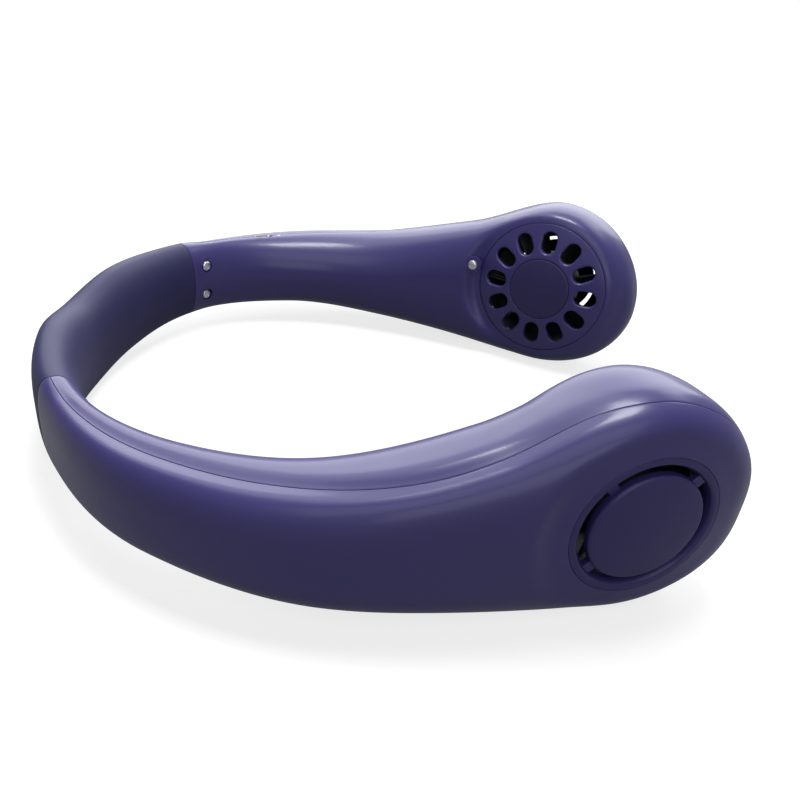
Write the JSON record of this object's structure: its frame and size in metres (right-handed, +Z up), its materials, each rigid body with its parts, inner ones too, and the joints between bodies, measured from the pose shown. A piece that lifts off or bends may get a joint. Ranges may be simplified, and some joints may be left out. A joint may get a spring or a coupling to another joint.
{
  "type": "electric neck fan",
  "caption": "C-shaped electric neck fan: two hollow arms on a springy band, each with a round head that draws air in outside and blows it out through oval holes towards the neck.",
  "frame": {"origin": "under the middle of the whole fan, on the plane that it lies on", "axes": "+X towards the open front between the two heads, +Y to the wearer's left, +Z up, away from the plane that the band and both heads lie on"},
  "size_m": [0.2006, 0.2188, 0.0613],
  "materials": {
    "shell": "satin violet plastic, a little darker towards the undersides",
    "band": "soft matt violet band",
    "trim": "satin violet plastic of the grille's cap, the intake covers and the button",
    "frame_plastic": "pale grey moulded plastic inside",
    "dark_plastic": "black moulded plastic",
    "rotor_plastic": "dark grey-green fan blades",
    "steel": "bright steel",
    "core_steel": "stacked core plates",
    "copper": "enamelled copper wire",
    "bronze": "sintered bronze",
    "magnet": "bonded magnet",
    "board": "green circuit board",
    "cell": "silver-grey battery pouch",
    "foam": "black foam",
    "wire": "insulated wires, red, black, yellow and white",
    "lens": "clear light guide"
  },
  "bodies": {
    "neck_band": {"band_sleeve": "band", "band_spring_strip": "steel", "band_wires": "wire"},
    "left_arm": {"left_inner_shell": "shell", "left_outer_shell": "shell", "left_band_anchor": "dark_plastic", "left_outlet_grille": "shell", "left_grille_cap": "trim", "left_intake_cover": "trim", "left_fan_duct": "dark_plastic", "left_motor_board": "board", "left_stator_core": "core_steel", "left_stator_coils": "copper", "left_bushes": "bronze", "left_battery": "cell", "left_battery_pad": "foam", "left_battery_tray": "frame_plastic", "left_screws": "steel", "left_arm_wires": "wire", "left_battery_wires": "wire", "left_motor_wires": "wire", "control_board": "board", "charging_port": "steel", "button_switch": "dark_plastic", "charge_light_lens": "lens"},
    "left_rotor": {"left_motor_shaft": "steel", "left_rotor_magnet": "magnet", "left_fan_rotor": "rotor_plastic"},
    "right_arm": {"right_inner_shell": "shell", "right_outer_shell": "shell", "right_band_anchor": "dark_plastic", "right_outlet_grille": "shell", "right_grille_cap": "trim", "right_intake_cover": "trim", "right_fan_duct": "dark_plastic", "right_motor_board": "board", "right_stator_core": "core_steel", "right_stator_coils": "copper", "right_bushes": "bronze", "right_battery": "cell", "right_battery_pad": "foam", "right_battery_tray": "frame_plastic", "right_screws": "steel", "right_arm_wires": "wire", "right_battery_wires": "wire", "right_motor_wires": "wire"},
    "right_rotor": {"right_motor_shaft": "steel", "right_rotor_magnet": "magnet", "right_fan_rotor": "rotor_plastic"},
    "button": {"power_button": "trim", "switch_plunger": "dark_plastic"}
  },
  "joints": [
    {"name": "left_arm_flex", "type": "hinge", "parent": "neck_band", "child": "left_arm", "pos_m": [-0.08726, 0.03164, 0.01815], "axis": [0, 0, 1], "range_deg": [-10, 20], "stiffness_Nm_per_rad": 2.7, "deforming": ["band_sleeve", "band_spring_strip", "band_wires"]},
    {"name": "right_arm_flex", "type": "hinge", "parent": "neck_band", "child": "right_arm", "pos_m": [-0.08726, -0.03164, 0.01815], "axis": [0, 0, -1], "range_deg": [-10, 20], "stiffness_Nm_per_rad": 2.7, "deforming": ["band_sleeve", "band_spring_strip", "band_wires"]},
    {"name": "left_fan_spin", "type": "hinge", "parent": "left_arm", "child": "left_rotor", "pos_m": [0.06753, 0.07768, 0.0307], "axis": [0.3591, 0.9307, -0.0698], "continuous": true},
    {"name": "right_fan_spin", "type": "hinge", "parent": "right_arm", "child": "right_rotor", "pos_m": [0.06753, -0.07768, 0.0307], "axis": [0.3591, -0.9307, -0.0698], "continuous": true},
    {"name": "power_button_press", "type": "slide", "parent": "left_arm", "child": "button", "axis": [0.5562, -0.831, 0], "range_m": [0, 0.0005], "stiffness_N_per_m": 900, "springref_m": -0.0008}
  ]
}
